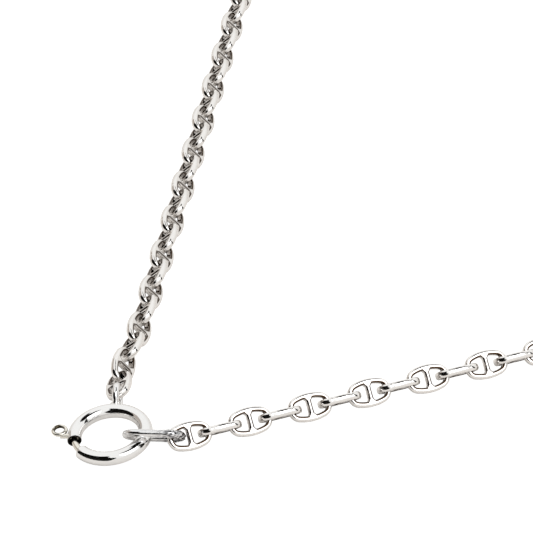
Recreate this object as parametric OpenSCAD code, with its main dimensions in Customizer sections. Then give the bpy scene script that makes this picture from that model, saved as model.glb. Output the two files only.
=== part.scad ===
// Neck chain of oval anchor links with a centre bar, closed with a bolt ring clasp.
// It lies on a flat surface as a whole loop. Units are millimetres, +Z is up.
// The origin is at the middle of the loop's outline, on the surface the chain lies on.

/* [Chain] */
// number of links, an odd number so that the first and the last link roll the same way
link_count = 127; // [97:2:161]
// distance from one link's centre to the next
link_pitch = 3.37; // [3.36:0.01:3.37]
// angle between each straight side and the loop's long axis, in degrees
side_angle = 29.9; // [28:0.1:32]

/* [Link] */
// outside length of a link
link_length = 4.86; // [4.84:0.01:4.96]
// outside width of a link
link_width = 3.05; // [2.95:0.01:3.15]
// thickness of a link, square to its flat faces
link_thick = 0.80; // [0.7:0.01:0.82]
// width of the rim, across its flat face
rim_width = 0.59; // [0.5:0.01:0.6]
// radius of a link's rounded end, outside
end_radius = 1.38; // [1.3:0.01:1.42]
// radius of the arc at the far end of each D-shaped hole
hole_end_radius = 1.1; // [1.05:0.01:1.2]
// width of the centre bar
bar_width = 0.58; // [0.45:0.01:0.65]

/* [Clasp ring] */
// outside diameter of the bolt ring
ring_diameter = 9.0; // [8.9:0.05:9.1]
// diameter of the ring's tube
tube_diameter = 1.5; // [1.4:0.01:1.52]
// diameter of the bore in the tube
bore_diameter = 1.14; // [1.04:0.01:1.2]
// gap in the ring that the bolt closes, in degrees round the ring
gap_angle = 31; // [28:1:33]
// tilt of the ring, which the jump ring and the upright loop lift off the surface
ring_tilt = 7.0; // [6.95:0.05:7.1]

/* [Upright loop] */
// outside diameter of the small loop soldered to the ring
loop_diameter = 3.1; // [3.04:0.02:3.1]
// wire of that loop
loop_wire = 0.72; // [0.66:0.01:0.74]

/* [Bolt] */
// diameter of the bolt's tip, which shows in the gap
tip_diameter = 0.68; // [0.5:0.01:0.8]
// how far the bolt draws back into the tube, in degrees round the ring
bolt_travel = 36; // [34:1:38]
// outside diameter of the thumb eyelet
eyelet_diameter = 1.75; // [1.7:0.05:1.8]
// wire of the thumb eyelet
eyelet_wire = 0.4; // [0.36:0.01:0.44]

/* [Jump ring] */
// outside length of the oval jump ring
jump_length = 6.6; // [6.55:0.05:6.7]
// outside width of the oval jump ring
jump_width = 4.0; // [4.0:0.02:4.04]
// wire of the jump ring
jump_wire = 0.78; // [0.74:0.01:0.79]

/* [Hidden] */
$fn = 48;

// the clasp ring, from the point where the chain's two sides would meet
ring_place = [-1.85, 3.66];
ring_radius = (ring_diameter - tube_diameter) / 2;
ring_rise = 62;
ring_height = tube_diameter / 2 + ring_radius * sin(ring_tilt);

// the upright loop, whose far inside is this far from the ring's centre
loop_azimuth = 122.7;
loop_sink = 0.10;
loop_place = ring_diameter / 2 + loop_diameter / 2 - loop_sink;
loop_far = loop_place + loop_diameter / 2 - loop_wire;
loop_play = 0.5515;

// the jump ring hangs round the clasp's tube, so its far inside is this far from the ring's centre
jump_inside = 2.035;
jump_far = ring_radius - jump_inside + jump_length - jump_wire;
jump_play = 0.97;

// the loop: two straight sides that would meet at the clasp, joined by one round bend
function on_side(reach, side) = [side * sin(side_angle) * reach, cos(side_angle) * reach];
function ring_along(side) = on_side(1, side) * ring_place;
function reach_at(far, side) =
    ring_along(side) + sqrt(pow(far, 2) - ring_place * ring_place + pow(ring_along(side), 2));
hole_reach = link_length / 2 - rim_width;
first_reach = reach_at(loop_far, -1) + hole_reach - loop_play;
seat_reach = reach_at(jump_far, 1);
last_reach = seat_reach + hole_reach - jump_play;
first_slack = 0.085;
function run_of(i) = i == 0 ? 0 : i * link_pitch - first_slack;
chain_run = run_of(link_count - 1);
bend_turn = 180 + 2 * side_angle;
bend_radius = (chain_run + first_reach + last_reach) / (2 / tan(side_angle) + bend_turn * PI / 180);
side_run = bend_radius / tan(side_angle);
left_run = side_run - first_reach;
bend_run = bend_radius * bend_turn * PI / 180;
bend_centre = bend_radius / sin(side_angle);

// a link rolls this far about the chain's own line as it lies
lie_roll = 45;
// how the first links lie, which hang from the upright loop: roll, height, shift aside, turn and slope
start_rolls = [-29.7, 50.15, -41.4];
start_heights = [1.407, 1.471, 1.538, 1.377];
start_shifts = [0.351, 0.5, 0.212, 0.049];
start_turns = [8.25, -1.65, -2.6];
start_slopes = [7.1, -6.2, 3.95];
function roll_of(i) = i < len(start_rolls) ? start_rolls[i] : (i % 2 == 0 ? -lie_roll : lie_roll);
function lowest(roll) = link_width / 2 * abs(sin(roll)) + link_thick / 2 * cos(roll);
link_reach = lowest(lie_roll);
function height_of(i) = i < len(start_heights) ? start_heights[i] : max(link_reach, lowest(roll_of(i)));
function shift_of(i) = i < len(start_shifts) ? start_shifts[i] : 0;
function turn_of(i) = i < len(start_turns) ? start_turns[i] : 0;
function slope_of(i) = i < len(start_slopes) ? start_slopes[i] : 0;

// place of a point on the loop, as [x, y, heading], a run s after the first link's centre
function on_bend(heading) = [bend_radius * cos(heading + 90), bend_centre + bend_radius * sin(heading + 90)];
function bend_heading(s) = 90 + side_angle - (s - left_run) / bend_radius * 180 / PI;
function place(s) =
    s < left_run ? concat(on_side(first_reach + s, -1), [90 + side_angle]) :
    s < left_run + bend_run ? concat(on_bend(bend_heading(s)), [bend_heading(s)]) :
    concat(on_side(side_run - (s - left_run - bend_run), 1), [270 - side_angle]);

// the clasp's tube, in degrees round the ring
arm_end = 258.3;
mouth = arm_end - gap_angle;
cap_depth = 0.2;
bore_reach = 127;
bore_runout = 1;
slot_depth = 0.375;

// the solder foot under the upright loop
foot_height = 0.75;
foot_base = 1.3;

// the bolt
run_gap = 0.05;
tip_gap = 0.1;
stem_azimuth = 214.5;
stem_size = 0.42;
stem_gap = 0.08;
slot_end_gap = 0.15;
collar_front = 5.3;
collar_back = 27;
collar_lap = 1;
eyelet_azimuth = 206.8;
eyelet_place = 5.46;
eyelet_lift = 0.15;
stem_root = 3.8;
stem_end = 5.25;

// the jump ring
jump_heading = 36.6;
jump_roll = -47.2;
jump_pitch = 0.25;
jump_lift = 0.02;
blob_radius = 0.48;

// the loop's outline along its long axis, from the point where the two sides would meet
loop_back = bend_centre + bend_radius + link_reach;
loop_front = ring_place[1] - ring_radius * cos(ring_tilt * sin(ring_rise)) - tube_diameter / 2;
loop_middle = (loop_front + loop_back) / 2;

function degrees_at(length, radius) = length / radius * 180 / PI;

// how far an oval's two long arcs are centred from its middle, when its four arcs meet at a tangent
function arc_offset(half_l, half_w, r) = (pow(half_l - r, 2) - pow(half_w - r, 2)) / (2 * (half_w - r));

// outline of an oval, as four arcs that meet at a tangent
module oval(half_l, half_w, r) {
    offset_y = arc_offset(half_l, half_w, r);
    offset_x = half_l - r;
    intersection() {
        translate([0, -offset_y])
            circle(r = half_w + offset_y);
        translate([0, offset_y])
            circle(r = half_w + offset_y);
        union() {
            square([2 * offset_x, 2 * half_w], center = true);
            for (side = [-1, 1])
                translate([side * offset_x, 0])
                    circle(r = r);
        }
    }
}

// one D-shaped hole of a link: flat at the bar, a broad arc at the link's end
module hole(side) {
    inner_l = link_length / 2 - rim_width;
    inner_w = link_width / 2 - rim_width;
    offset_y = arc_offset(link_length / 2, link_width / 2, end_radius);
    intersection() {
        translate([0, -offset_y])
            circle(r = inner_w + offset_y);
        translate([0, offset_y])
            circle(r = inner_w + offset_y);
        translate([side * (inner_l - hole_end_radius), 0])
            circle(r = hole_end_radius);
        translate([side * (bar_width / 2 + inner_l), 0])
            square([2 * inner_l, 4 * inner_w], center = true);
    }
}

// one link, long axis along X, flat faces square to Z
module link() {
    linear_extrude(height = link_thick, center = true)
        difference() {
            oval(link_length / 2, link_width / 2, end_radius);
            hole(1);
            hole(-1);
        }
}

// moves what was laid out from the clasp's corner so that the origin is the loop's middle
module from_corner() {
    translate([0, -loop_middle, 0])
        children();
}

// moves what was laid out flat round the ring's own centre to the tilted ring
module on_ring() {
    from_corner()
        translate([ring_place[0], ring_place[1], ring_height])
            rotate(a = ring_tilt, v = [sin(ring_rise), -cos(ring_rise), 0])
                children();
}

// part of a round bar bent round the ring's centre
module ring_bar(radius, from, to) {
    rotate([0, 0, from])
        rotate_extrude(angle = to - from)
            translate([ring_radius, 0])
                circle(r = radius);
}

// a round ring of wire, flat on XY
module wire_ring(outside, wire) {
    rotate_extrude()
        translate([(outside - wire) / 2, 0])
            circle(d = wire);
}

module anchor_chain() {
    color("silver")
        from_corner()
            for (i = [0 : link_count - 1]) {
                spot = place(run_of(i));
                translate([spot[0], spot[1], height_of(i)])
                    rotate([0, 0, spot[2]])
                        translate([0, shift_of(i), 0])
                            rotate([roll_of(i), slope_of(i), turn_of(i)])
                                link();
            }
}

module clasp_ring() {
    slot_margin = degrees_at(stem_size / 2 + slot_end_gap, ring_diameter / 2);
    slot_from = stem_azimuth - bolt_travel - slot_margin;
    slot_to = stem_azimuth + slot_margin;
    slot_inside = ring_diameter / 2 - slot_depth;
    color("lightgray")
        on_ring()
            difference() {
                union() {
                    ring_bar(tube_diameter / 2, arm_end - 360, mouth);
                    rotate([0, 0, arm_end])
                        translate([ring_radius, 0, 0])
                            rotate([90, 0, 0])
                                cylinder(h = cap_depth, d1 = tube_diameter, d2 = tube_diameter - 2 * cap_depth);
                    rotate([0, 0, loop_azimuth])
                        translate([loop_place, 0, 0])
                            rotate([90, 0, 0])
                                wire_ring(loop_diameter, loop_wire);
                    rotate([0, 0, loop_azimuth])
                        translate([ring_diameter / 2 - loop_sink, 0, 0])
                            rotate([0, 90, 0])
                                cylinder(h = foot_height, d1 = foot_base, d2 = loop_wire);
                }
                ring_bar(bore_diameter / 2, mouth - bore_reach, mouth + bore_runout);
                rotate([0, 0, slot_from])
                    rotate_extrude(angle = slot_to - slot_from)
                        translate([slot_inside, -stem_size / 2 - stem_gap])
                            square([tube_diameter / 2, stem_size + 2 * stem_gap]);
            }
}

module clasp_bolt() {
    collar_from = stem_azimuth - collar_back;
    collar_to = mouth - collar_front;
    tip_to = arm_end - degrees_at(cap_depth + tip_gap, ring_radius);
    color("gainsboro")
        on_ring() {
            ring_bar(bore_diameter / 2 - run_gap, collar_from, collar_to);
            ring_bar(tip_diameter / 2, collar_to - collar_lap, tip_to);
            rotate([0, 0, stem_azimuth])
                translate([stem_root, -stem_size / 2, -stem_size / 2])
                    cube([stem_end - stem_root, stem_size, stem_size]);
            rotate([0, 0, eyelet_azimuth])
                translate([eyelet_place, 0, eyelet_lift])
                    wire_ring(eyelet_diameter, eyelet_wire);
        }
}

// the oval jump ring: its end passes through the last link, its other end round the clasp's tube
module jump_ring() {
    half_l = (jump_length - jump_wire) / 2;
    half_w = (jump_width - jump_wire) / 2;
    straight = half_l - half_w;
    seat = on_side(seat_reach, 1);
    middle_z = half_w * sin(-jump_roll) + jump_wire / 2 + straight * sin(jump_pitch) + jump_lift;
    color("darkgray")
        from_corner()
            translate([seat[0], seat[1], middle_z])
                rotate([0, 0, jump_heading])
                    translate([-half_l, 0, 0])
                        rotate([jump_roll, jump_pitch, 0]) {
                            for (turn = [0, 180])
                                rotate([0, 0, turn]) {
                                    translate([straight, 0, 0])
                                        rotate([0, 0, -90])
                                            rotate_extrude(angle = 180)
                                                translate([half_w, 0])
                                                    circle(d = jump_wire);
                                    translate([0, half_w, 0])
                                        rotate([0, 90, 0])
                                            cylinder(h = 2 * straight, d = jump_wire, center = true);
                                }
                            translate([half_l, 0, 0])
                                sphere(r = blob_radius);
                        }
}

anchor_chain();
clasp_ring();
clasp_bolt();
jump_ring();
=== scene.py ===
import math

import bmesh
import bpy
import numpy as np
from mathutils import Matrix, Vector, noise


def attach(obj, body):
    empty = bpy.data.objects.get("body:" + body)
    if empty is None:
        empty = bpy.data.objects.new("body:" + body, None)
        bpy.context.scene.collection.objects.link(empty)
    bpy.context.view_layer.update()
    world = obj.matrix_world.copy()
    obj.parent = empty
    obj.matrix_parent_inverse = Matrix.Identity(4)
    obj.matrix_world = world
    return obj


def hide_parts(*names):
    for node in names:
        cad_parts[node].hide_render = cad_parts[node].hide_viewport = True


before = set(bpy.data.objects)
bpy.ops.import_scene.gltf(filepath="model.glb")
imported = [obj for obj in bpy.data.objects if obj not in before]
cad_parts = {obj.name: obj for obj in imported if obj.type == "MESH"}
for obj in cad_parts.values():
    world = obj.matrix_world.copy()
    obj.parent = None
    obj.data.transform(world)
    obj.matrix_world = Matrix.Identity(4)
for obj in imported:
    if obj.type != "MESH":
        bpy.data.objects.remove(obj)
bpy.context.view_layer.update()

MM = 0.001
QUARTER = math.pi / 2
UP = Vector((0, 0, 1))
scene = bpy.context.scene
scene.view_settings.view_transform = "Standard"

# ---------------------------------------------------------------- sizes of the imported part
# Lengths are in mm. Angles are in degrees, or in radians where math.radians says so.

# the chain and its links
LINK_COUNT = 127
LINK_PITCH = 3.37
SIDE_ANGLE = math.radians(29.9)
LINK_LENGTH = 4.86
LINK_WIDTH = 3.05
LINK_THICK = 0.80
RIM_WIDTH = 0.59
END_RADIUS = 1.38
HOLE_END_RADIUS = 1.1
BAR_WIDTH = 0.58
FIRST_SLACK = 0.085
LIE_ROLL = 45.0

# how the first links lie, which hang from the upright loop
START_ROLLS = (-29.7, 50.15, -41.4, 45.0)
START_HEIGHTS = (1.407, 1.471, 1.538, 1.377)
START_SHIFTS = (0.351, 0.5, 0.212, 0.049)
START_TURNS = (8.25, -1.65, -2.6, 0.0)
START_SLOPES = (7.1, -6.2, 3.95, 0.0)

# the clasp ring, its bore and slot
RING_DIAMETER = 9.0
TUBE_RADIUS = 0.75
BORE_RADIUS = 0.57
RING_RADIUS = RING_DIAMETER / 2 - TUBE_RADIUS
RING_TILT = math.radians(7.0)
RING_RISE = math.radians(62.0)
RING_PLACE = (-1.85, 3.66)
ARM_END = 258.3
GAP_ANGLE = 31.0
MOUTH = ARM_END - GAP_ANGLE
BORE_REACH = 127.0
SLOT_END_GAP = 0.15

# the upright loop
LOOP_AZIMUTH = 122.7
LOOP_DIAMETER = 3.1
LOOP_WIRE = 0.72
LOOP_SINK = 0.10
LOOP_PLAY = 0.5515

# the bolt with its stem and eyelet
BOLT_TRAVEL = 36.0
COLLAR_FRONT = 5.3
COLLAR_BACK = 27.0
RUN_GAP = 0.05
TIP_GAP = 0.1
CAP_DEPTH = 0.2
TIP_DIAMETER = 0.68
STEM_AZIMUTH = 214.5
STEM_SIZE = 0.42
STEM_GAP = 0.08
STEM_ROOT = 3.8
STEM_END = 5.25
EYELET_AZIMUTH = 206.8
EYELET_PLACE = 5.46
EYELET_LIFT = 0.15
EYELET_DIAMETER = 1.75
EYELET_WIRE = 0.4

# the jump ring
JUMP_LENGTH = 6.6
JUMP_WIDTH = 4.0
JUMP_WIRE = 0.78
JUMP_HEADING = 36.6
JUMP_ROLL = -47.2
JUMP_PITCH = 0.25
JUMP_LIFT = 0.02
JUMP_INSIDE = 2.035
JUMP_PLAY = 0.97
JUMP_HALF_L = (JUMP_LENGTH - JUMP_WIRE) / 2
JUMP_HALF_W = (JUMP_WIDTH - JUMP_WIRE) / 2


# ---------------------------------------------------------------- the loop the links lie on

def run_of(i):
    """How far along the chain a link's centre is from the first one's."""
    return i * LINK_PITCH - (FIRST_SLACK if i else 0.0)


def reach_at(far, side):
    """How far up a side of the loop the point is that lies this far from the ring's centre."""
    along = side * math.sin(SIDE_ANGLE) * RING_PLACE[0] + math.cos(SIDE_ANGLE) * RING_PLACE[1]
    return along + math.sqrt(far ** 2 - RING_PLACE[0] ** 2 - RING_PLACE[1] ** 2 + along ** 2)


loop_far = RING_DIAMETER / 2 - LOOP_SINK + LOOP_DIAMETER - LOOP_WIRE
jump_far = RING_RADIUS - JUMP_INSIDE + JUMP_LENGTH - JUMP_WIRE
hole_reach = LINK_LENGTH / 2 - RIM_WIDTH
first_reach = reach_at(loop_far, -1) + hole_reach - LOOP_PLAY
seat_reach = reach_at(jump_far, 1)
last_reach = seat_reach + hole_reach - JUMP_PLAY
bend_turn = math.pi + 2 * SIDE_ANGLE
chain_run = run_of(LINK_COUNT - 1)
bend_radius = (chain_run + first_reach + last_reach) / (2 / math.tan(SIDE_ANGLE) + bend_turn)
side_run = bend_radius / math.tan(SIDE_ANGLE)
left_run = side_run - first_reach
bend_run = bend_radius * bend_turn
bend_centre = bend_radius / math.sin(SIDE_ANGLE)

# the origin is at the middle of the loop's outline, from the clasp's front to the far bend
lie = math.radians(LIE_ROLL)
link_reach = (LINK_WIDTH * math.sin(lie) + LINK_THICK * math.cos(lie)) / 2
loop_back = bend_centre + bend_radius + link_reach
ring_dip = math.cos(RING_TILT * math.sin(RING_RISE))
loop_front = RING_PLACE[1] - RING_RADIUS * ring_dip - TUBE_RADIUS
loop_middle = (loop_front + loop_back) / 2


def on_side(reach, side):
    """A point this far up the loop's left (-1) or right (1) side."""
    return side * math.sin(SIDE_ANGLE) * reach, math.cos(SIDE_ANGLE) * reach - loop_middle


def place(s):
    """Where the chain's own line is, a run s after the first link's centre: x, y and its heading."""
    if s < left_run:
        return (*on_side(first_reach + s, -1), QUARTER + SIDE_ANGLE)
    if s < left_run + bend_run:
        heading = QUARTER + SIDE_ANGLE - (s - left_run) / bend_radius
        y = bend_centre + bend_radius * math.cos(heading) - loop_middle
        return -bend_radius * math.sin(heading), y, heading
    return (*on_side(side_run - (s - left_run - bend_run), 1), 3 * QUARTER - SIDE_ANGLE)


def turned(degrees, axis):
    return Matrix.Rotation(math.radians(degrees), 4, axis)


def link_matrix(i):
    """Where a link lies, and how it is rolled, turned and sloped."""
    x, y, heading = place(run_of(i))
    start = (START_ROLLS, START_HEIGHTS, START_SHIFTS, START_TURNS, START_SLOPES)
    usual = (LIE_ROLL if i % 2 else -LIE_ROLL, link_reach, 0.0, 0.0, 0.0)
    roll, height, shift, turn, lean = (values[i] for values in start) if i < len(START_ROLLS) else usual
    at = Matrix.Translation((x, y, height)) @ Matrix.Rotation(heading, 4, "Z")
    spin = turned(turn, "Z") @ turned(lean, "Y") @ turned(roll, "X")
    return at @ Matrix.Translation((0, shift, 0)) @ spin


def jump_matrix():
    """Where the jump ring lies: its far inside is at the seat, and its low side is on the surface."""
    x, y = on_side(seat_reach, 1)
    slope_z = (JUMP_HALF_L - JUMP_HALF_W) * math.sin(math.radians(JUMP_PITCH))
    z = JUMP_HALF_W * math.sin(math.radians(-JUMP_ROLL)) + JUMP_WIRE / 2 + slope_z + JUMP_LIFT
    at = Matrix.Translation((x, y, z)) @ turned(JUMP_HEADING, "Z")
    lean = turned(JUMP_PITCH, "Y") @ turned(JUMP_ROLL, "X")
    return at @ Matrix.Translation((-JUMP_HALF_L, 0, 0)) @ lean


ring_height = TUBE_RADIUS + RING_RADIUS * math.sin(RING_TILT)
ring_middle = Vector((RING_PLACE[0], RING_PLACE[1] - loop_middle, ring_height))
ring_axis = Vector((math.sin(RING_RISE), -math.cos(RING_RISE), 0.0))
ring_matrix = Matrix.Translation(ring_middle) @ Matrix.Rotation(RING_TILT, 4, ring_axis)


# ---------------------------------------------------------------- mesh helpers

def new_piece(name, points, faces, body, material, painted_shade_and_solder, replaced, normals=None):
    """A mesh piece from points in mm, in the part's frame; painted_shade_and_solder says how dark each point
    is painted: painted shade in recesses, along hole edges and inside bores, and the duller solder.
    """
    mesh = bpy.data.meshes.new(name)
    corners = [tuple(point) for point in np.asarray(points) * MM]
    mesh.from_pydata(corners, [], [tuple(int(k) for k in face) for face in faces])
    mesh.validate()
    if normals is None:
        work = bmesh.new()
        work.from_mesh(mesh)
        bmesh.ops.recalc_face_normals(work, faces=work.faces)
        work.to_mesh(mesh)
        work.free()
    mesh.shade_smooth()
    if normals is not None:
        mesh.normals_split_custom_set_from_vertices([tuple(n) for n in normals])
    values = mesh.attributes.new("painted_shade_and_solder", "FLOAT", "POINT").data
    values.foreach_set("value", np.asarray(painted_shade_and_solder, dtype=np.float32))
    mesh.materials.append(material)
    piece = bpy.data.objects.new(name, mesh)
    scene.collection.objects.link(piece)
    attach(piece, body)
    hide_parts(replaced)


def moved(points, matrix):
    m = np.array(matrix)
    return np.asarray(points) @ m[:3, :3].T + m[:3, 3]


class Build:
    """Collects rings of points and the faces between them, for one piece."""

    def __init__(self):
        self.points = []
        self.painted_shade_and_solder = []
        self.faces = []

    def ring(self, points, painted_shade_and_solder=0.0):
        first = len(self.points)
        self.points.extend(tuple(p) for p in points)
        self.painted_shade_and_solder.extend(np.broadcast_to(painted_shade_and_solder, len(points)))
        return list(range(first, first + len(points)))

    def strip(self, a, b, skip=()):
        """Faces from one ring to the next, apart from those to skip."""
        for k in range(len(a)):
            if k not in skip:
                n = (k + 1) % len(a)
                self.faces.append((a[k], a[n], b[n], b[k]))

    def tube(self, rings, painted_shade_and_solder=None, loop=False):
        """A skin over rings of points, joined end to end or with its two ends shut."""
        ids = [self.ring(ring, 0.0 if painted_shade_and_solder is None else painted_shade_and_solder[k]) for k, ring in enumerate(rings)]
        for a, b in zip(ids, ids[1:] + ids[:1] if loop else ids[1:]):
            self.strip(a, b)
        if not loop:
            self.faces.extend((tuple(ids[0]), tuple(ids[-1])))

    def piece(self, name, matrix, body, slot, material, replaced):
        points = moved(self.points, matrix)
        new_piece(name, points, self.faces, body, material, self.painted_shade_and_solder, replaced)


def clamp(value, low=0.0, high=1.0):
    return min(high, max(low, value))


def smooth_step(x):
    x = clamp(x)
    return x * x * (3 - 2 * x)


def full_turn(count):
    return np.linspace(0, 2 * math.pi, count, endpoint=False)


def stretch(start, end, count):
    """Even steps from the start, without the end."""
    return [start + (end - start) * k / count for k in range(count)]


def round_ring(middle, out, up, radius, angles):
    """A round ring of points: angle 0 lies outwards, 90 degrees up."""
    return [middle + out * (radius * math.cos(a)) + up * (radius * math.sin(a)) for a in angles]


def around(azimuth, r=1.0, z=0.0):
    """A point round the clasp ring's centre, in the ring's own plane."""
    a = math.radians(azimuth)
    return Vector((r * math.cos(a), r * math.sin(a), z))


def bar_ring(azimuth, radius, angles):
    """A cross-section of a bar that runs round the clasp ring's centre."""
    return round_ring(around(azimuth, RING_RADIUS), around(azimuth), UP, radius, angles)


# ---------------------------------------------------------------- materials

def node_material(name):
    material = bpy.data.materials.new(name)
    material.use_nodes = True
    nodes = material.node_tree.nodes
    return material, nodes, material.node_tree.links, nodes["Principled BSDF"]


def add_node(nodes, kind, **values):
    """A new node with values for its inputs, whose names have _ in place of a space."""
    node = nodes.new(kind)
    for name, value in values.items():
        node.inputs[name.replace("_", " ")].default_value = value
    return node


def mixed_colour(nodes, links, low, high, share):
    """The output of a mix from one colour to another."""
    mix = nodes.new("ShaderNodeMix")
    mix.data_type = "RGBA"
    mix.inputs["A"].default_value = (*low, 1)
    mix.inputs["B"].default_value = (*high, 1)
    links.new(share, mix.inputs["Factor"])
    return mix.outputs["Result"]


CLOUD_SHARE = 0.25
TARNISH_FROM, TARNISH_TO = 0.42, 0.75
GLOSS_FROM, GLOSS_TO = 0.3, 0.75


def silver(name, light, dark, rough, tarnish, scratch=0.25, grain=2600.0, bump=0.02):
    """Polished silver: fine scratches, a faint cloudy tarnish, and a darker tone where
    painted_shade_and_solder says: painted shade in recesses, along hole edges and inside bores, and the
    duller solder.
    """
    material, nodes, links, shader = node_material(name)
    shader.inputs["Metallic"].default_value = 1.0
    where = nodes.new("ShaderNodeTexCoord").outputs["Object"]
    cloud = add_node(nodes, "ShaderNodeTexNoise", Scale=grain * CLOUD_SHARE, Detail=5.0)
    links.new(where, cloud.inputs["Vector"])
    fine = add_node(nodes, "ShaderNodeTexNoise", Scale=grain, Detail=8.0, Roughness=0.7)
    links.new(where, fine.inputs["Vector"])
    mask = nodes.new("ShaderNodeValToRGB")
    mask.color_ramp.elements[0].position = TARNISH_FROM
    mask.color_ramp.elements[1].position = TARNISH_TO
    links.new(cloud.outputs["Fac"], mask.inputs["Fac"])
    soften = nodes.new("ShaderNodeMath")
    soften.operation = "MULTIPLY"
    soften.inputs[1].default_value = tarnish
    links.new(mask.outputs["Color"], soften.inputs[0])
    # painted shade in recesses, along hole edges and inside bores, and the duller solder, read from the mesh
    painted_shade_and_solder = nodes.new("ShaderNodeAttribute")
    painted_shade_and_solder.attribute_name = "painted_shade_and_solder"
    # the darker of the tarnish and the painted shade sets the tone
    tarnish_and_painted_shade = nodes.new("ShaderNodeMath")
    tarnish_and_painted_shade.operation = "MAXIMUM"
    links.new(soften.outputs["Value"], tarnish_and_painted_shade.inputs[0])
    links.new(painted_shade_and_solder.outputs["Fac"], tarnish_and_painted_shade.inputs[1])
    tone = mixed_colour(nodes, links, light, dark, tarnish_and_painted_shade.outputs["Value"])
    links.new(tone, shader.inputs["Base Color"])
    gloss = add_node(nodes, "ShaderNodeMapRange", From_Min=GLOSS_FROM, From_Max=GLOSS_TO,
                     To_Min=rough[0], To_Max=rough[1])
    links.new(fine.outputs["Fac"], gloss.inputs["Value"])
    links.new(gloss.outputs["Result"], shader.inputs["Roughness"])
    relief = add_node(nodes, "ShaderNodeBump", Strength=scratch, Distance=bump * MM)
    links.new(fine.outputs["Fac"], relief.inputs["Height"])
    links.new(relief.outputs["Normal"], shader.inputs["Normal"])
    return material


# each dark colour is what the painted shade, and the cloudy tarnish, turn the silver towards
link_silver = silver("polished_links", light=(0.945, 0.925, 0.905), dark=(0.06, 0.036, 0.02),
                     rough=(0.04, 0.12), tarnish=0.04)
clasp_silver = silver("polished_clasp", light=(0.94, 0.935, 0.93), dark=(0.02, 0.018, 0.016),
                      rough=(0.03, 0.1), tarnish=0.03)
bolt_silver = silver("bolt_silver", light=(0.93, 0.90, 0.82), dark=(0.09, 0.075, 0.05),
                     rough=(0.08, 0.2), tarnish=0.1)
jump_silver = silver("soldered_jump", light=(0.90, 0.90, 0.91), dark=(0.05, 0.05, 0.06),
                     rough=(0.05, 0.2), tarnish=0.08, scratch=0.4, grain=3000.0, bump=0.03)


# ---------------------------------------------------------------- the links

HALF_THICK = LINK_THICK / 2
INNER_L = LINK_LENGTH / 2 - RIM_WIDTH
INNER_W = LINK_WIDTH / 2 - RIM_WIDTH
HOLE_MIDDLE = (BAR_WIDTH / 2 + INNER_L) / 2
# how softly a hole's flanks run into its round end and into the bar
END_SOFT = 0.12
CORNER_SOFT = 0.22
# a hole's rounded edge, at the rim and at the rounder bar: how far it reaches out and down
HOLE_EDGE = (0.15, 0.25)
HOLE_DEEP = (0.15, 0.36)
# how far before that edge the face is still bright, and where its dark line of painted shade starts
FACE_BRIGHT = (0.09, 0.035)
FACE_LINE = (0.05, 0.02)
# how dark that painted shade line is, at the rim and at the bar
LINE_PAINTED_SHADE = (1.0, 0.0)
# how much painted shade each row down the rounded edge gets, at the rim and at the bar
EDGE_PAINTED_SHADE = ((1.0, 0.5), (1.0, 1.0), (0.6, 0.15), (0.25, 0.0))
# steps round a hole that face the link's outside and the bar, and over how many the bar blends in
FRONT_STEPS = 24
BAR_STEPS = 8
BLEND_STEPS = 3
MERGE_DIGITS = 4
HALVINGS = 40


def between(pair, share):
    return pair[0] + (pair[1] - pair[0]) * share


def soft_max(a, b, k):
    reach = max(k - abs(a - b), 0.0)
    return max(a, b) + reach * reach / (4 * k)


def arc_offset(half_l, half_w, r):
    """How far beyond the middle line the centre of a flank's arc lies, so that it meets the round end."""
    return ((half_l - r) ** 2 - (half_w - r) ** 2) / (2 * (half_w - r))


SIDE_OFFSET = arc_offset(LINK_LENGTH / 2, LINK_WIDTH / 2, END_RADIUS)


def outside(x, y):
    """Distance beyond the link's outline."""
    flank = math.hypot(x, abs(y) + SIDE_OFFSET) - (LINK_WIDTH / 2 + SIDE_OFFSET)
    end_x = LINK_LENGTH / 2 - END_RADIUS
    if abs(x) < end_x:
        return flank
    return max(flank, math.hypot(abs(x) - end_x, y) - END_RADIUS)


def in_hole(x, y):
    """Distance beyond the outline of the hole at +X."""
    flank = math.hypot(x, abs(y) + SIDE_OFFSET) - (INNER_W + SIDE_OFFSET)
    end = math.hypot(x - (INNER_L - HOLE_END_RADIUS), y) - HOLE_END_RADIUS
    return soft_max(soft_max(flank, end, END_SOFT), BAR_WIDTH / 2 - x, CORNER_SOFT)


def crossing(shape, angle, far=4.0):
    """Where a line from the middle of the hole crosses an outline."""
    low, high = 0.0, far
    dx, dy = math.cos(angle), math.sin(angle)
    for _ in range(HALVINGS):
        middle = (low + high) / 2
        if shape(HOLE_MIDDLE + dx * middle, dy * middle) < 0:
            low = middle
        else:
            high = middle
    return HOLE_MIDDLE + dx * low, dy * low


def slope(shape, x, y, step=1e-4):
    """The way outwards from an outline."""
    gx = shape(x + step, y) - shape(x - step, y)
    gy = shape(x, y + step) - shape(x, y - step)
    size = math.hypot(gx, gy)
    return gx / size, gy / size


def rim_profile(edge=0.3, power=0.82, steps=9):
    """The rounded outer side of the rim, from face to face: inset, height, normal and painted shade, which is
    none here.
    """
    rows = []
    for k in range(steps):
        a = math.pi * k / (steps - 1)
        out, up = math.sin(a), math.cos(a)
        reach, rise = abs(out) ** power, math.copysign(abs(up) ** power, up)
        n_out = reach ** (2 / power - 1) / edge
        n_up = math.copysign(abs(rise) ** (2 / power - 1), up) / HALF_THICK
        size = math.hypot(n_out, n_up)
        rows.append((edge * (1 - reach), HALF_THICK * rise, n_out / size, n_up / size, 0.0))
    return rows


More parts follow.
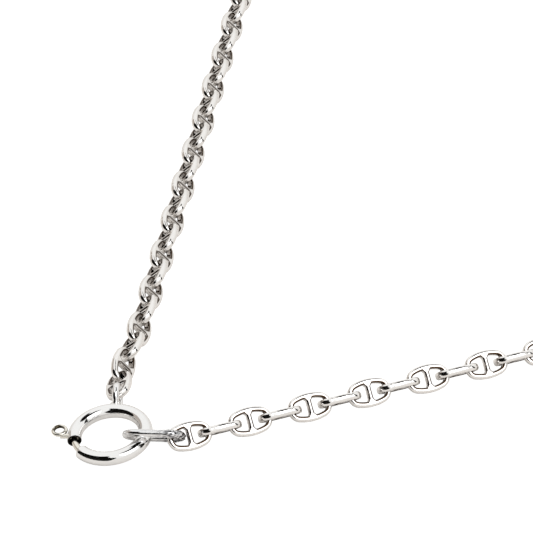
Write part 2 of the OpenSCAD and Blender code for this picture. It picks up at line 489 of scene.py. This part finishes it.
def hole_profile(bar):
    """The side of a hole, with the same values and painted shade along its rounded edge; bar goes from 0 at
    the rim to 1 at the bar.
    """
    edge, deep = between(HOLE_EDGE, bar), between(HOLE_DEEP, bar)
    rows = [(edge + between(FACE_BRIGHT, bar), HALF_THICK, 0.0, 1.0, 0.0),
            (edge + between(FACE_LINE, bar), HALF_THICK, 0.0, 1.0, between(LINE_PAINTED_SHADE, bar))]
    for k, dark in enumerate(EDGE_PAINTED_SHADE):
        a = QUARTER * k / (len(EDGE_PAINTED_SHADE) - 1)
        out, up = math.sin(a) * deep, math.cos(a) * edge
        size = math.hypot(out, up)
        inset, height = edge * (1 - math.sin(a)), HALF_THICK - deep * (1 - math.cos(a))
        rows.append((inset, height, out / size, up / size, between(dark, bar)))
    return rows + [(inset, -z, out, -up, dark) for inset, z, out, up, dark in reversed(rows)]


def link_template():
    """One link, rounded along every edge: points, normals, faces and how much painted shade each point gets.
    """
    corner = math.atan2(LINK_WIDTH / 2, -HOLE_MIDDLE)
    angles = list(np.linspace(-corner, corner, FRONT_STEPS, endpoint=False))
    angles += list(np.linspace(corner, 2 * math.pi - corner, BAR_STEPS, endpoint=False))
    count = len(angles)
    points, normals, painted_shade_and_solder, faces = [], [], [], []
    index = {}

    def point(x, y, z, normal, dark):
        key = tuple(round(v, MERGE_DIGITS) + 0.0 for v in (x, y, z))
        if key not in index:
            index[key] = len(points)
            points.append((x, y, z))
            normals.append(normal)
            painted_shade_and_solder.append(dark)
        return index[key]

    def section(x, y, n, profile):
        """Points down one side, from the top face's edge to the bottom face's."""
        return [point(x - n[0] * inset, y - n[1] * inset, z, (n[0] * out, n[1] * out, up), dark)
                for inset, z, out, up, dark in profile]

    rim, hole_count = rim_profile(), len(hole_profile(0))
    for side in (1, -1):
        hole, edge = [], []
        for k, angle in enumerate(angles):
            x, y = crossing(in_hole, angle)
            n = slope(in_hole, x, y)
            bar = smooth_step((min(k - FRONT_STEPS, count - k) + 1) / BLEND_STEPS)
            hole.append(section(side * x, y, (-side * n[0], -n[1]), hole_profile(bar)))
            if k <= FRONT_STEPS:
                x, y = crossing(outside, angle)
                n = slope(outside, x, y)
                if k in (0, FRONT_STEPS):
                    x, n = 0.0, (0.0, math.copysign(1, y))
                edge.append(section(side * x, y, (side * n[0], n[1]), rim))
            else:
                y = -HOLE_MIDDLE * math.tan(angle)
                edge.append([point(0.0, y, s * HALF_THICK, (0, 0, s), 0.0) for s in (1, -1)])
        for k in range(count):
            n = (k + 1) % count
            quads = [(hole[k][row], hole[n][row], hole[n][row + 1], hole[k][row + 1])
                     for row in range(hole_count - 1)]
            if k < FRONT_STEPS:
                quads += [(edge[n][row], edge[k][row], edge[k][row + 1], edge[n][row + 1])
                          for row in range(len(rim) - 1)]
            quads.append((edge[k][0], edge[n][0], hole[n][0], hole[k][0]))
            quads.append((edge[n][-1], edge[k][-1], hole[k][-1], hole[n][-1]))
            for quad in quads:
                corners = list(dict.fromkeys(quad))
                if len(corners) > 2:
                    faces.append(corners if side > 0 else corners[::-1])
    return np.array(points), np.array(normals), faces, np.array(painted_shade_and_solder)


def lay_links(name, picks):
    """The links of these numbers as one piece, each where it lies."""
    points, normals, faces, painted_shade_and_solder = link_template()
    all_points, all_normals, all_faces = [], [], []
    for count, i in enumerate(picks):
        matrix = link_matrix(i)
        all_points.append(moved(points, matrix))
        all_normals.append(normals @ np.array(matrix.to_3x3()).T)
        all_faces.extend([count * len(points) + k for k in face] for face in faces)
    new_piece(name, np.concatenate(all_points), all_faces, "necklace", link_silver,
              np.tile(painted_shade_and_solder, len(picks)), "anchor_chain", np.concatenate(all_normals))


lay_links("links_rolled_left", range(0, LINK_COUNT, 2))
lay_links("links_rolled_right", range(1, LINK_COUNT, 2))


# ---------------------------------------------------------------- the clasp ring with its soldered loop

PER_MM = math.degrees(1 / RING_RADIUS)
SLOT_HALF = STEM_SIZE / 2 + STEM_GAP
# faces across the slot's width, and points round the tube
SLOT_FACES = 6
TUBE_SIDES = 40
# the rounded far end: how far each ring stands beyond the arm's start, and in from the tube's skin
FAR_END = ((0.2, 0.42), (0.195, 0.25), (0.175, 0.17), (0.14, 0.1), (0.09, 0.045), (0.045, 0.012))
# rings of the skin: along the arm, over the bore up to the slot, along the slot, on to the mouth
ARM_RINGS, BORE_RINGS, SLOT_RINGS, MOUTH_RINGS = 68, 24, 15, 4
# rings inside the bore: from the mouth to the slot, and past the slot to the bore's end
INNER_MOUTH_RINGS, INNER_BORE_RINGS = 3, 12
# the mouth's rounded outer and inner edge, and where the bore's own rings start
LIP, LIP_RINGS = 0.07, 5
INNER_LIP, INNER_LIP_RINGS = 0.05, 4
INNER_START = 0.1
# the outer lip darkens with painted shade over this many rings
LIP_SHADE_RINGS = 2


def slot_angles(radius):
    """Angles of a cross-section with two of its points on the slot's edges."""
    edge = math.asin(SLOT_HALF / radius)
    inside = np.linspace(-edge, edge, SLOT_FACES + 1)
    rest = np.linspace(edge, 2 * math.pi - edge, TUBE_SIDES - SLOT_FACES + 1)[1:-1]
    return list(inside) + list(rest)


def clasp_tube(build):
    """The tube with its bore open at the mouth, the slot through its side and its far end shut; painted shade
    darkens the lip and fills the bore's inside.
    """
    outer, inner = slot_angles(TUBE_RADIUS), slot_angles(BORE_RADIUS)
    margin = math.degrees((STEM_SIZE / 2 + SLOT_END_GAP) / (RING_DIAMETER / 2))
    slot_start, slot_end = STEM_AZIMUTH - BOLT_TRAVEL - margin, STEM_AZIMUTH + margin
    start, bore_end = ARM_END - 360, MOUTH - BORE_REACH

    rings = [build.ring(bar_ring(start - PER_MM * out, TUBE_RADIUS - inset, outer)) for out, inset in FAR_END]
    for a, b, count in ((start, bore_end, ARM_RINGS), (bore_end, slot_start, BORE_RINGS),
                        (slot_start, slot_end, SLOT_RINGS), (slot_end, MOUTH - PER_MM * LIP, MOUTH_RINGS)):
        rings += [build.ring(bar_ring(az, TUBE_RADIUS, outer)) for az in stretch(a, b, count)]
    closed_end = build.ring([around(start - PER_MM * FAR_END[0][0], RING_RADIUS)])[0]
    for k in range(len(outer)):
        build.faces.append((rings[0][k], rings[0][(k + 1) % len(outer)], closed_end))
    for k in range(LIP_RINGS):
        a = QUARTER * k / (LIP_RINGS - 1)
        az, radius = MOUTH - PER_MM * LIP * (1 - math.sin(a)), TUBE_RADIUS - LIP * (1 - math.cos(a))
        rings.append(build.ring(bar_ring(az, radius, outer), clamp(k / LIP_SHADE_RINGS)))
    # painted shade: the inner lip and the bore's inside are fully dark
    for k in range(INNER_LIP_RINGS):
        a = QUARTER * k / (INNER_LIP_RINGS - 1)
        az = MOUTH - PER_MM * INNER_LIP * (1 - math.cos(a))
        rings.append(build.ring(bar_ring(az, BORE_RADIUS + INNER_LIP * (1 - math.sin(a)), inner), 1.0))
    for a, b, count in ((MOUTH - PER_MM * INNER_START, slot_end, INNER_MOUTH_RINGS),
                        (slot_end, slot_start, SLOT_RINGS), (slot_start, bore_end, INNER_BORE_RINGS)):
        rings += [build.ring(bar_ring(az, BORE_RADIUS, inner), 1.0) for az in stretch(a, b, count)]
    rings.append(build.ring(bar_ring(bore_end, BORE_RADIUS, inner), 1.0))
    build.faces.append(tuple(rings[-1]))

    first_out = len(FAR_END) + ARM_RINGS + BORE_RINGS
    first_in = first_out + SLOT_RINGS + MOUTH_RINGS + LIP_RINGS + INNER_LIP_RINGS + INNER_MOUTH_RINGS
    last_out, last_in = first_out + SLOT_RINGS, first_in + SLOT_RINGS
    for k, (a, b) in enumerate(zip(rings, rings[1:])):
        open_here = first_out <= k < last_out or first_in <= k < last_in
        build.strip(a, b, range(SLOT_FACES) if open_here else ())
    for k in range(SLOT_RINGS):
        near, far = rings[first_out + k], rings[first_out + k + 1]
        near_in, far_in = rings[last_in - k], rings[last_in - k - 1]
        for edge in (0, SLOT_FACES):
            build.faces.append((near[edge], far[edge], far_in[edge], near_in[edge]))
    for out, into in ((rings[first_out], rings[last_in]), (rings[last_out], rings[first_in])):
        for k in range(SLOT_FACES):
            build.faces.append((out[k], out[k + 1], into[k + 1], into[k]))


def clasp_loop(build, steps=56, sides=20):
    """The small upright loop."""
    out = around(LOOP_AZIMUTH)
    middle = out * (RING_DIAMETER / 2 + LOOP_DIAMETER / 2 - LOOP_SINK)
    reach = (LOOP_DIAMETER - LOOP_WIRE) / 2
    rings = []
    for a in full_turn(steps):
        away = out * math.cos(a) + UP * math.sin(a)
        rings.append(round_ring(middle + away * reach, away, out.cross(UP), LOOP_WIRE / 2, full_turn(sides)))
    build.tube(rings, loop=True)


def clasp_foot(build, wide=0.74, narrow=0.33, height=0.72, flare=1.1, sink=0.03, steps=9, sides=32):
    """The flared solder between the tube and the loop, a little duller than the rest."""
    out = around(LOOP_AZIMUTH)
    along = UP.cross(out)
    rings = []
    for k in range(steps):
        f = k / (steps - 1)
        reach = narrow + (wide - narrow) * (1 - f)
        ring = []
        for a in full_turn(sides):
            side, up = reach * math.cos(a), reach * math.sin(a)
            skin = math.sqrt((RING_RADIUS + math.sqrt(TUBE_RADIUS ** 2 - up ** 2)) ** 2 - side ** 2)
            ring.append(out * (skin - sink + height * f ** flare) + along * side + UP * up)
        rings.append(ring)
    foot_dark, top_dark = 0.06, 0.22
    build.tube(rings, [foot_dark + (top_dark - foot_dark) * k / (steps - 1) for k in range(steps)])


clasp = Build()
clasp_tube(clasp)
clasp_loop(clasp)
clasp_foot(clasp)
clasp.piece("clasp_body", ring_matrix, "necklace", "clasp", clasp_silver, "clasp_ring")


# ---------------------------------------------------------------- the bolt

COLLAR_EDGE = 0.12
TIP_EDGE = 0.16
TIP_ROOT = 1.0
# painted shade where the bolt lies in the bore: it is dark up to this azimuth, and bright so much further on
BOLT_PAINTED_SHADE = 0.8
BRIGHT_FROM = MOUTH + 2.5
BRIGHT_RUN = 4.0


def bent_bar(start, end, radius, edge, steps=5, spacing=3.0):
    """Stations of a bent bar with two rounded ends: azimuth and radius."""
    at = math.degrees(edge / RING_RADIUS)
    first = []
    for k in range(steps + 1):
        a = QUARTER * k / steps
        first.append((start + at * (1 - math.cos(a)), radius - edge * (1 - math.sin(a))))
    last = [(end - (az - start), r) for az, r in reversed(first)]
    count = max(2, round((end - start - 2 * at) / spacing))
    middle = [(az, radius) for az in stretch(start + at, end - at, count)[1:]]
    return first + middle + last


def bolt_bars(build, sides=28):
    """The collar that runs in the bore, and the thinner bar that closes the gap, both painted dark as shade
    up to the mouth.
    """
    collar_end = MOUTH - COLLAR_FRONT
    tip_end = ARM_END - math.degrees((CAP_DEPTH + TIP_GAP) / RING_RADIUS)
    for start, end, radius, edge in (
            (STEM_AZIMUTH - COLLAR_BACK, collar_end, BORE_RADIUS - RUN_GAP, COLLAR_EDGE),
            (collar_end - TIP_ROOT, tip_end, TIP_DIAMETER / 2, TIP_EDGE)):
        stations = bent_bar(start, end, radius, edge)
        # painted shade inside the bore, fading out just past the mouth
        dark = [clamp((BRIGHT_FROM - az) / BRIGHT_RUN, 0.0, BOLT_PAINTED_SHADE) for az, _ in stations]
        build.tube([bar_ring(az, r, full_turn(sides)) for az, r in stations], dark)


def bolt_stem(build, steps=8, sides=24, power=5, end_share=0.92):
    """The stem through the slot, square with rounded corners."""
    out = around(STEM_AZIMUTH)
    along = UP.cross(out)
    rings = []
    for k, r in enumerate(np.linspace(STEM_ROOT, STEM_END, steps)):
        half = STEM_SIZE / 2 * (end_share if k in (0, steps - 1) else 1.0)
        ring = []
        for a in full_turn(sides):
            size = half / (abs(math.cos(a)) ** power + abs(math.sin(a)) ** power) ** (1 / power)
            ring.append(out * r + along * (size * math.cos(a)) + UP * (size * math.sin(a)))
        rings.append(ring)
    build.tube(rings)


def bolt_eyelet(build, steps=44, sides=16, inside_dark=0.5, turn_dark=1.2, cloud_dark=1.6, cloud_scale=2.3):
    """The thumb eyelet, with painted shade towards its inside, made cloudy by noise."""
    middle = around(EYELET_AZIMUTH, EYELET_PLACE, EYELET_LIFT)
    rings, painted_shade_and_solder = [], []
    for a in full_turn(steps):
        away = Vector((math.cos(a), math.sin(a), 0))
        centre = middle + away * (EYELET_DIAMETER - EYELET_WIRE) / 2
        ring = round_ring(centre, away, UP, EYELET_WIRE / 2, full_turn(sides))
        rings.append(ring)
        clouds = [cloud_dark * noise.noise(point * cloud_scale) for point in ring]
        painted_shade_and_solder.append([clamp(inside_dark - turn_dark * math.cos(b) + cloud)
                       for b, cloud in zip(full_turn(sides), clouds)])
    build.tube(rings, painted_shade_and_solder, loop=True)


bolt = Build()
bolt_bars(bolt)
bolt_stem(bolt)
bolt_eyelet(bolt)
bolt.piece("bolt_with_eyelet", ring_matrix, "bolt", "bolt", bolt_silver, "clasp_bolt")


# ---------------------------------------------------------------- the jump ring, rough where it is soldered

# how near the soldered end the wire is wholly rough, and over what distance that fades
ROUGH_REACH = 1.7
ROUGH_FADE = 2.1
# the lumps: their pattern, how much the end swells, and how high they stand there and further on
LUMP_SPREAD, LUMP_SCALE = 0.4, 4.0
LUMP_PATTERN = (0.5, 2.2, 4)
SWELL, SWELL_POWER = 0.03, 4
END_LUMPS, WIRE_LUMPS = 0.06, 0.05
# the hollows between the lumps are darker
LUMP_DARK, LUMP_DARK_SLOPE, LUMP_DARK_LEAST = 0.6, 5.0, 0.1


def jump_path(bend_steps=36, side_steps=14):
    """Centres of the oval's wire, with the way outwards at each."""
    straight = JUMP_HALF_L - JUMP_HALF_W
    path = []
    for side in (1, -1):
        for a in np.linspace(-QUARTER, QUARTER, bend_steps, endpoint=False):
            out = Vector((side * math.cos(a), side * math.sin(a), 0))
            path.append((Vector((side * straight, 0, 0)) + out * JUMP_HALF_W, out))
        for x in stretch(side * straight, -side * straight, side_steps):
            path.append((Vector((x, side * JUMP_HALF_W, 0)), Vector((0, side, 0))))
    return path


def jump_wire(build, sides=28):
    soldered_end = Vector((JUMP_HALF_L, 0, 0))
    rings, painted_shade_and_solder = [], []
    for centre, out in jump_path():
        near = smooth_step(ROUGH_REACH - (centre - soldered_end).length / ROUGH_FADE)
        ring, dark = [], []
        for a in full_turn(sides):
            away = out * math.cos(a) + UP * math.sin(a)
            lump = noise.fractal((centre + away * LUMP_SPREAD) * LUMP_SCALE, *LUMP_PATTERN)
            swell = near ** SWELL_POWER * (SWELL + END_LUMPS * lump) + near * WIRE_LUMPS * lump
            ring.append(centre + away * (JUMP_WIRE / 2 + swell))
            dark.append(near * clamp(LUMP_DARK - LUMP_DARK_SLOPE * lump, LUMP_DARK_LEAST))
        rings.append(ring)
        painted_shade_and_solder.append(dark)
    build.tube(rings, painted_shade_and_solder, loop=True)


jump = Build()
jump_wire(jump)
jump.piece("jump_wire", jump_matrix(), "necklace", "jump", jump_silver, "jump_ring")


# ---------------------------------------------------------------- floor, light, cards and camera

CAMERA_AZIMUTH = 38.943
CAMERA_ELEVATION = 36.352
CAMERA_DISTANCE = 0.450
CAMERA_TARGET = Vector((-0.008765, -0.049652, 0.0))
FOCAL_PIXELS = 4064.8
PICTURE_PIXELS = 533
SENSOR = 36.0

FLOOR_HALF = 3.0
# the floor that the camera sees lies this far down, and the one that the metal mirrors a third of it
FLOOR_DEPTH = 0.00009
FLOOR_GRAIN = 40.0
FLOOR_GRAIN_TONE = 1.02

CARD_STEP = 4
CARD_CLOUD = 6.0
CARD_TINT = (1.0, 0.9, 0.8)
CARD_CLOUD_TINT = (1.6, 1.45, 1.35)


def direction(side, elevation):
    """The way to a place side degrees to the right of the camera and elevation degrees up."""
    a, e = math.radians(CAMERA_AZIMUTH - 90 + side), math.radians(elevation)
    return Vector((math.cos(a) * math.cos(e), math.sin(a) * math.cos(e), math.sin(e)))


def stage_mesh(name, points, faces, material):
    mesh = bpy.data.meshes.new(name)
    mesh.from_pydata(points, [], faces)
    mesh.materials.append(material)
    thing = bpy.data.objects.new(name, mesh)
    scene.collection.objects.link(thing)
    return thing


def show_in_metal_only(thing):
    thing.visible_camera = False
    thing.visible_diffuse = False
    thing.visible_shadow = False


def floor_material(name, colour, glow):
    """A pale, matt floor with a faint grain, which glows a little where the camera sees it."""
    material, nodes, links, shader = node_material(name)
    where = nodes.new("ShaderNodeTexCoord").outputs["Object"]
    grain = add_node(nodes, "ShaderNodeTexNoise", Scale=FLOOR_GRAIN)
    links.new(where, grain.inputs["Vector"])
    lighter = [c * FLOOR_GRAIN_TONE for c in colour]
    tone = mixed_colour(nodes, links, colour, lighter, grain.outputs["Fac"])
    links.new(tone, shader.inputs["Base Color"])
    shader.inputs["Roughness"].default_value = 0.9
    shader.inputs["Emission Color"].default_value = (1, 1, 1, 1)
    shader.inputs["Emission Strength"].default_value = glow
    return material


def floor_sheet(name, depth, material):
    corners = [(sx * FLOOR_HALF, sy * FLOOR_HALF, -depth) for sx, sy in ((-1, -1), (1, -1), (1, 1), (-1, 1))]
    return stage_mesh(name, corners, [(0, 1, 2, 3)], material)


def studio_world(low, high, light_from=0.55):
    """Plain surroundings that grow lighter from the horizon up."""
    world = bpy.data.worlds.new("studio")
    scene.world = world
    world.use_nodes = True
    nodes, links = world.node_tree.nodes, world.node_tree.links
    where = nodes.new("ShaderNodeTexCoord").outputs["Generated"]
    parts = nodes.new("ShaderNodeSeparateXYZ")
    links.new(where, parts.inputs["Vector"])
    rise = add_node(nodes, "ShaderNodeMapRange", From_Min=0.0, From_Max=light_from)
    links.new(parts.outputs["Z"], rise.inputs["Value"])
    tone = mixed_colour(nodes, links, low, high, rise.outputs["Result"])
    links.new(tone, nodes["Background"].inputs["Color"])


def soft_light(name, side, elevation, width, height, glow, distance=0.55):
    """A soft box, turned towards the middle of the part."""
    data = bpy.data.lights.new(name, "AREA")
    data.shape = "RECTANGLE"
    data.size, data.size_y = width, height
    data.energy = glow * math.pi * width * height
    lamp = bpy.data.objects.new(name, data)
    out = direction(side, elevation)
    lamp.location = out * distance
    lamp.rotation_mode = "QUATERNION"
    lamp.rotation_quaternion = out.to_track_quat("Z", "Y")
    lamp.visible_camera = False
    scene.collection.objects.link(lamp)


def dark_card(name, outline, distance=0.6, shade=0.003):
    """A card that shows only in the metal, as part of a sphere round the part; outline gives its lower and
    upper edge, in degrees above the horizon, at several angles to the right of the camera."""
    material, nodes, links, shader = node_material(name)
    cloud = add_node(nodes, "ShaderNodeTexNoise", Scale=CARD_CLOUD)
    dark, lighter = ([shade * c for c in tint] for tint in (CARD_TINT, CARD_CLOUD_TINT))
    tone = mixed_colour(nodes, links, dark, lighter, cloud.outputs["Fac"])
    links.new(tone, shader.inputs["Base Color"])
    shader.inputs["Roughness"].default_value = 1.0
    shader.inputs["Specular IOR Level"].default_value = 0.0
    points = []
    for start, end in zip(outline, outline[1:]):
        steps = max(1, round(abs(end[0] - start[0]) / CARD_STEP))
        for k in range(steps + (end is outline[-1])):
            side, low, high = (a + (b - a) * k / steps for a, b in zip(start, end))
            points += [direction(side, low) * distance, direction(side, high) * distance]
    faces = [(2 * k, 2 * k + 2, 2 * k + 3, 2 * k + 1) for k in range(len(points) // 2 - 1)]
    show_in_metal_only(stage_mesh(name, points, faces, material))


floor = floor_sheet("floor", FLOOR_DEPTH, floor_material("pale_floor", (0.3, 0.3, 0.3), glow=0.9))
floor.visible_glossy = False
floor_in_metal = floor_material("pale_floor_in_metal", (0.75, 0.725, 0.70), glow=0.0)
show_in_metal_only(floor_sheet("floor_in_metal", FLOOR_DEPTH / 3, floor_in_metal))
studio_world(low=(0.76, 0.74, 0.71), high=(0.94, 0.94, 0.93))

back = direction(0, CAMERA_ELEVATION)
camera_data = bpy.data.cameras.new("camera")
camera_data.sensor_fit = "HORIZONTAL"
camera_data.sensor_width = SENSOR
camera_data.lens = FOCAL_PIXELS / PICTURE_PIXELS * SENSOR
camera_data.clip_start = 0.01
camera_data.clip_end = 20.0
camera = bpy.data.objects.new("camera", camera_data)
camera.location = CAMERA_TARGET + back * CAMERA_DISTANCE
camera.rotation_mode = "QUATERNION"
camera.rotation_quaternion = (-back).to_track_quat("-Z", "Y")
scene.collection.objects.link(camera)
scene.camera = camera

soft_light("right_box", side=40, elevation=50, width=0.36, height=0.3, glow=2.0)
dark_card("dark_front", [
    (-90, 10, 32), (-80, 1, 42), (-65, 0, 50), (-50, 0, 58), (-39, 0, 63), (-32, 0, 60),
    (-26, 0, 52), (-19, 0, 43), (-12, 0, 38), (-5, 6, 34), (2, 20, 31)])
dark_card("dark_high", [
    (-30, 79, 82), (8, 76, 86), (36, 69, 90), (53, 63, 90), (65, 61, 90), (76, 60, 90), (88, 57, 90),
    (100, 58, 88), (115, 61, 85), (130, 63, 83), (145, 64, 82), (160, 64, 82), (175, 64, 80),
    (190, 62, 74), (198, 62, 68)])
dark_card("dark_right", [(70, 8, 20), (75, 2, 55), (82, 2, 55), (88, 4, 30)], shade=0.01)
dark_card("grey_left", [(-135, 2, 20), (-120, 2, 30), (-100, 2, 38), (-88, 2, 40)], distance=0.62, shade=0.3)
